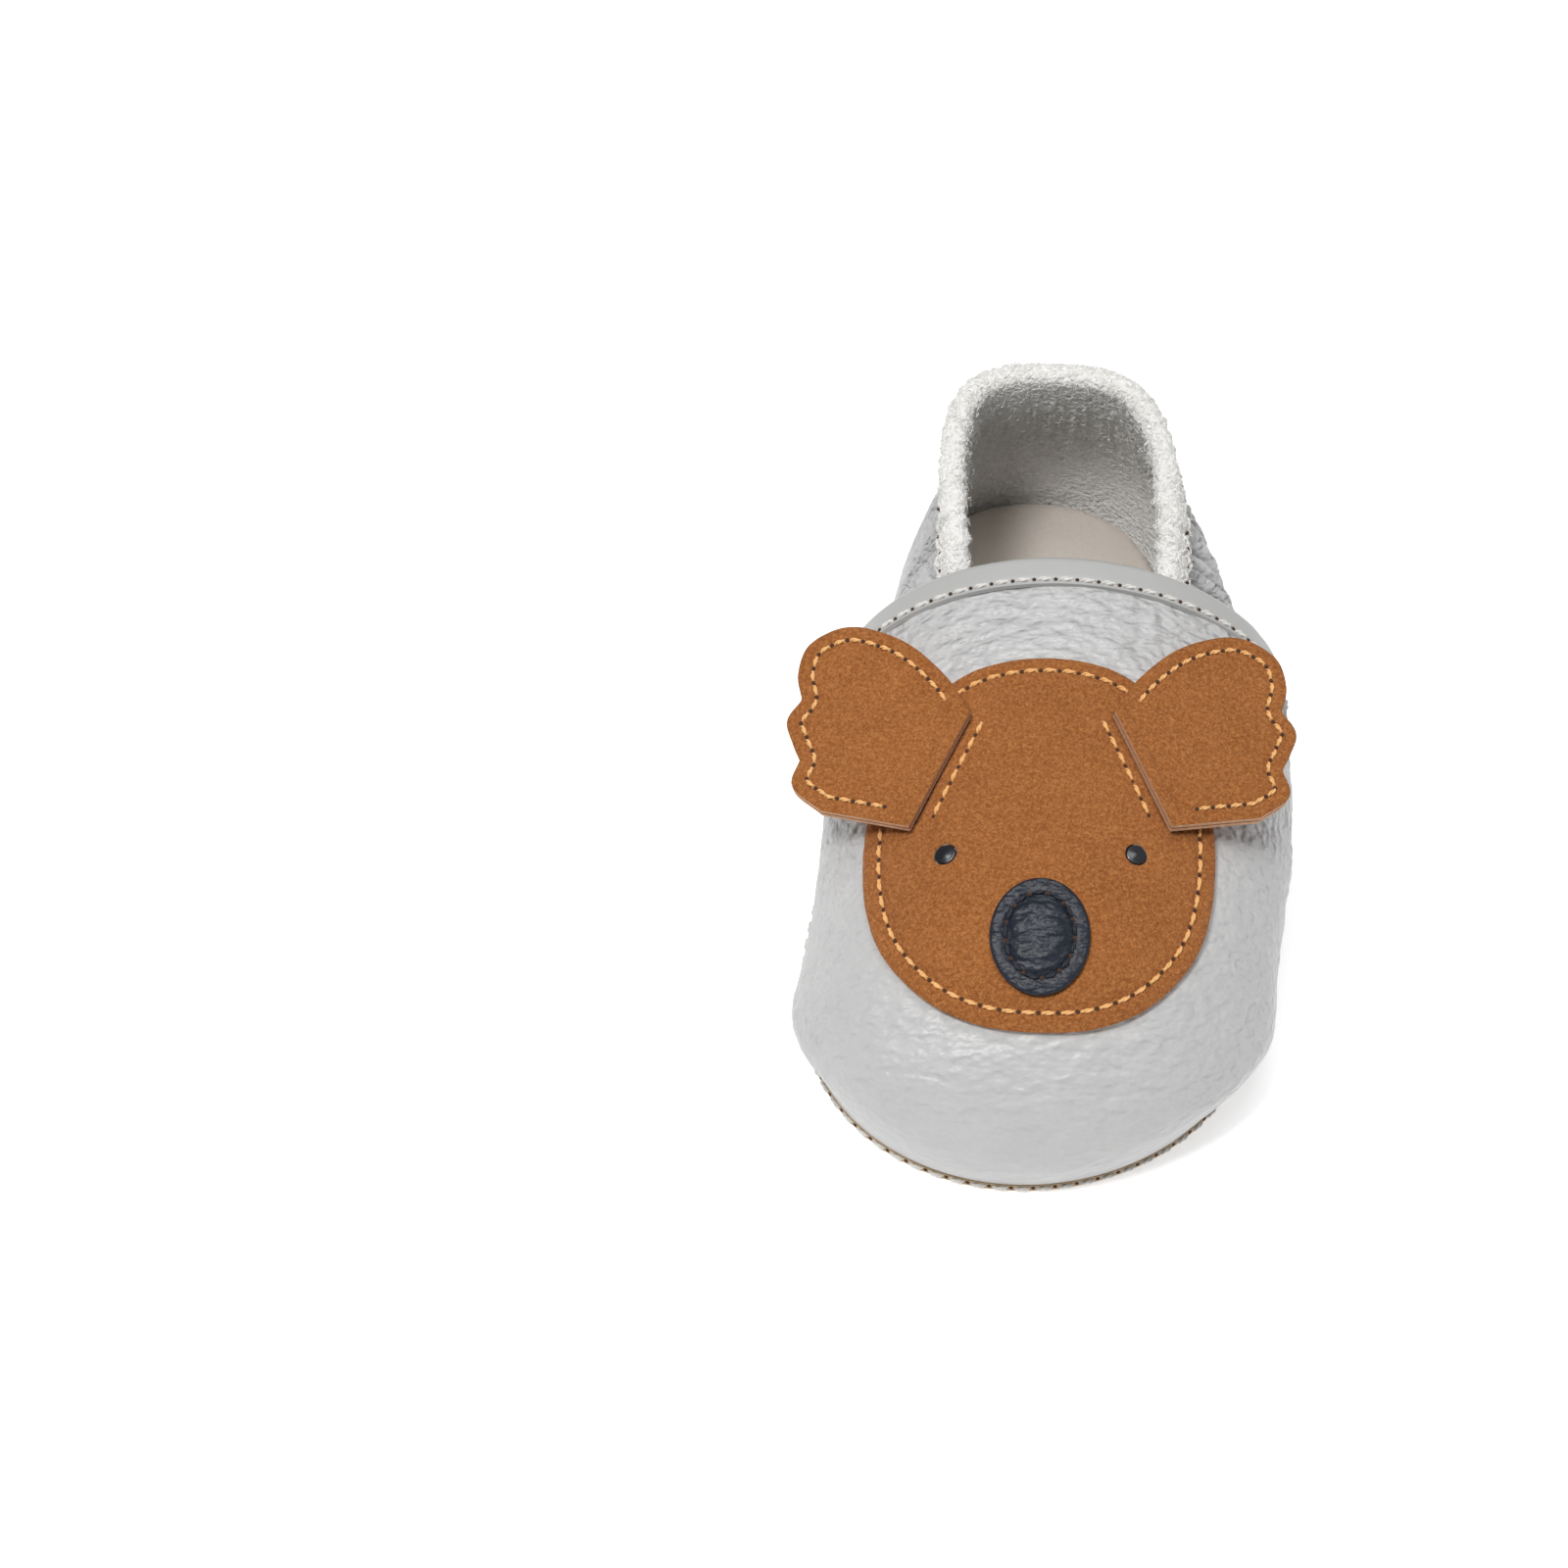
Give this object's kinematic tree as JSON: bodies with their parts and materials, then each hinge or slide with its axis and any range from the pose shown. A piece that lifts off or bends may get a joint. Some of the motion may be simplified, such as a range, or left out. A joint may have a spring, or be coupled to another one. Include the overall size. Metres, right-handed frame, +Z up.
{
  "type": "baby bootie",
  "caption": "Soft-sole leather baby bootie with an elastic collar and an animal face applique whose ears fold up.",
  "frame": {"origin": "on the floor under the middle of the sole, on the heel to toe line", "axes": "+Z up, toe towards -Y, heel towards +Y, +X on the outer side of the foot"},
  "size_m": [0.0738, 0.1267, 0.0433],
  "materials": {
    "grey_leather": "soft pebbled leather, low sheen",
    "brown_suede": "brushed suede, matt",
    "sole_suede": "suede, matt",
    "dark_leather": "smooth leather, soft sheen",
    "insole_fabric": "fine brushed fabric, matt",
    "lining": "thin fabric, matt",
    "foam": "soft foam sheet, matt",
    "elastic": "woven elastic, matt",
    "orange_thread": "twisted polyester thread",
    "black_thread": "twisted polyester thread",
    "grey_thread": "twisted polyester thread"
  },
  "bodies": {
    "shoe": {"outsole": "sole_suede", "foam_midsole": "foam", "insole": "insole_fabric", "vamp": "grey_leather", "vamp_lining": "lining", "throat_binding": "grey_leather", "heel_quarter": "grey_leather", "collar_elastic": "elastic", "face_patch": "brown_suede", "nose_patch": "dark_leather", "left_eye_dot": "dark_leather", "right_eye_dot": "dark_leather", "face_stitching": "orange_thread", "nose_stitching": "black_thread", "binding_stitching": "grey_thread", "collar_stitching": "grey_thread", "sole_seam_stitching": "grey_thread", "left_ear_anchor_stitching": "orange_thread", "right_ear_anchor_stitching": "orange_thread"},
    "left_ear": {"left_ear_front": "brown_suede", "left_ear_back": "brown_suede", "left_ear_stitching": "orange_thread"},
    "right_ear": {"right_ear_front": "brown_suede", "right_ear_back": "brown_suede", "right_ear_stitching": "orange_thread"}
  },
  "joints": [
    {"name": "left_ear_fold", "type": "hinge", "parent": "shoe", "child": "left_ear", "pos_m": [-0.01436, -0.01545, 0.03785], "axis": [0.4218, 0.8717, 0.2495], "range_deg": [-8, 80], "stiffness_Nm_per_rad": 0.005},
    {"name": "right_ear_fold", "type": "hinge", "parent": "shoe", "child": "right_ear", "pos_m": [0.0128, -0.01553, 0.03981], "axis": [0.4219, -0.8874, -0.1861], "range_deg": [-2, 80], "stiffness_Nm_per_rad": 0.005}
  ]
}
